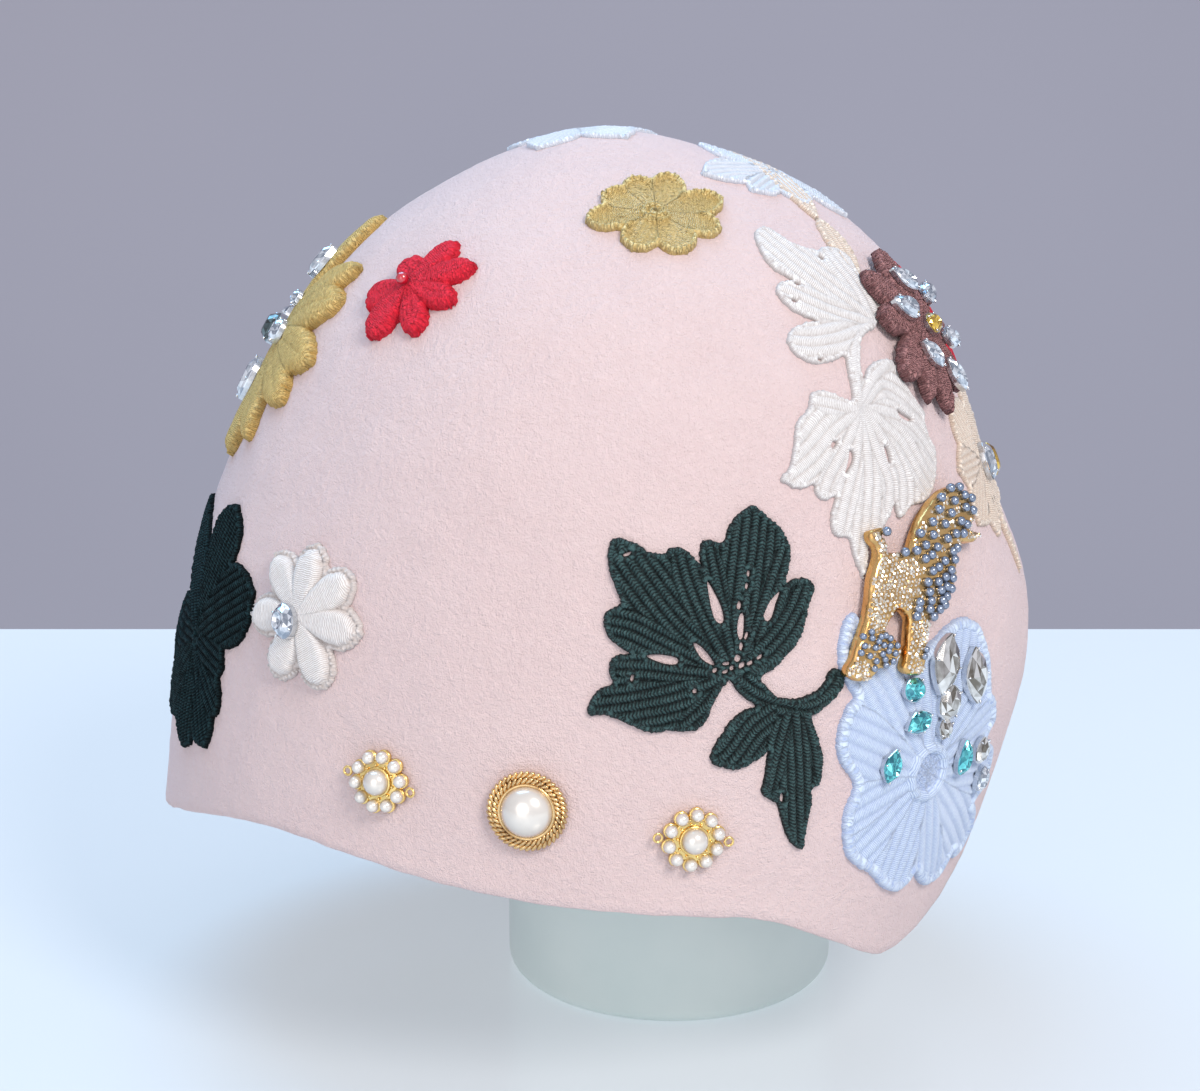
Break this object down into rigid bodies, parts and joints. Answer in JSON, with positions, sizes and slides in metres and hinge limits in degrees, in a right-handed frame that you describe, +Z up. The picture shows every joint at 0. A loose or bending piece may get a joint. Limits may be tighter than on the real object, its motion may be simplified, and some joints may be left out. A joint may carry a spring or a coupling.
{
  "type": "embroidered felt hat on a round stand",
  "caption": "Close-fitting bell-shaped felt hat with stitched flowers and leaves, cut stones, pearl buttons and a brooch, resting on a plain round stand.",
  "frame": {"origin": "centre of the stand's foot, on the surface that it stands on", "axes": "+Z up, the trimmed side faces -Y, +X to the right as that side is looked at"},
  "size_m": [0.2238, 0.1944, 0.2218],
  "materials": {
    "felt": "napped wool felt, pale pink",
    "stand_paint": "matte sage green",
    "green_thread": "matte rayon embroidery, very dark green",
    "white_thread": "satin stitch over padding, off white",
    "mustard_thread": "satin stitch, mustard",
    "red_thread": "satin stitch, red",
    "gold_thread": "metallic thread, gold",
    "silver_thread": "metallic thread, silver white",
    "ivory_thread": "matte embroidery, ivory",
    "brown_thread": "matte embroidery, brown",
    "beige_thread": "matte embroidery, beige",
    "blue_thread": "matte embroidery, pale blue",
    "gilt_metal": "gilt, lightly worn",
    "pearl": "pearl lustre",
    "clear_stone": "cut clear crystal, foil backed",
    "dark_stone": "cut crystal, deep blue green",
    "turquoise_stone": "cut crystal, turquoise",
    "smoke_stone": "cut crystal, smoke grey, foil backed",
    "amber_stone": "cut crystal, amber",
    "red_bead": "round glass bead, red"
  },
  "bodies": {
    "root": {"hat_shell": "felt", "stand": "stand_paint", "green_leaf_spray": "green_thread", "green_leaf_left": "green_thread", "white_daisy": "white_thread", "mustard_flower": "mustard_thread", "red_flower": "red_thread", "gold_flower": "gold_thread", "silver_leaf": "silver_thread", "white_crown_motif": "silver_thread", "ivory_leaf_spray": "ivory_thread", "red_patch": "red_thread", "beige_leaf": "beige_thread", "beige_strip": "beige_thread", "brown_flower": "brown_thread", "pale_blue_flower": "blue_thread", "mustard_stone_1": "dark_stone", "mustard_stone_2": "clear_stone", "mustard_stone_3": "clear_stone", "mustard_stone_4": "clear_stone", "mustard_stone_5": "clear_stone", "mustard_stone_6": "clear_stone", "brown_stone_1": "amber_stone", "brown_stone_2": "clear_stone", "brown_stone_3": "clear_stone", "brown_stone_4": "clear_stone", "brown_stone_5": "clear_stone", "brown_stone_6": "clear_stone", "brown_stone_7": "clear_stone", "beige_stone_1": "clear_stone", "beige_stone_2": "amber_stone", "blue_stone_1": "turquoise_stone", "blue_stone_2": "turquoise_stone", "blue_stone_3": "turquoise_stone", "blue_stone_4": "turquoise_stone", "blue_stone_5": "smoke_stone", "blue_stone_6": "smoke_stone", "blue_stone_7": "smoke_stone", "blue_stone_8": "smoke_stone", "blue_stone_9": "smoke_stone", "blue_stone_10": "clear_stone", "daisy_stone_1": "clear_stone", "red_bead": "red_bead", "dog_brooch": "gilt_metal", "pearl_cluster_left": "gilt_metal", "pearl_cluster_left_pearl": "pearl", "pearl_cluster_right": "gilt_metal", "pearl_cluster_right_pearl": "pearl", "button_setting": "gilt_metal", "button_pearl": "pearl"}
  },
  "joints": []
}
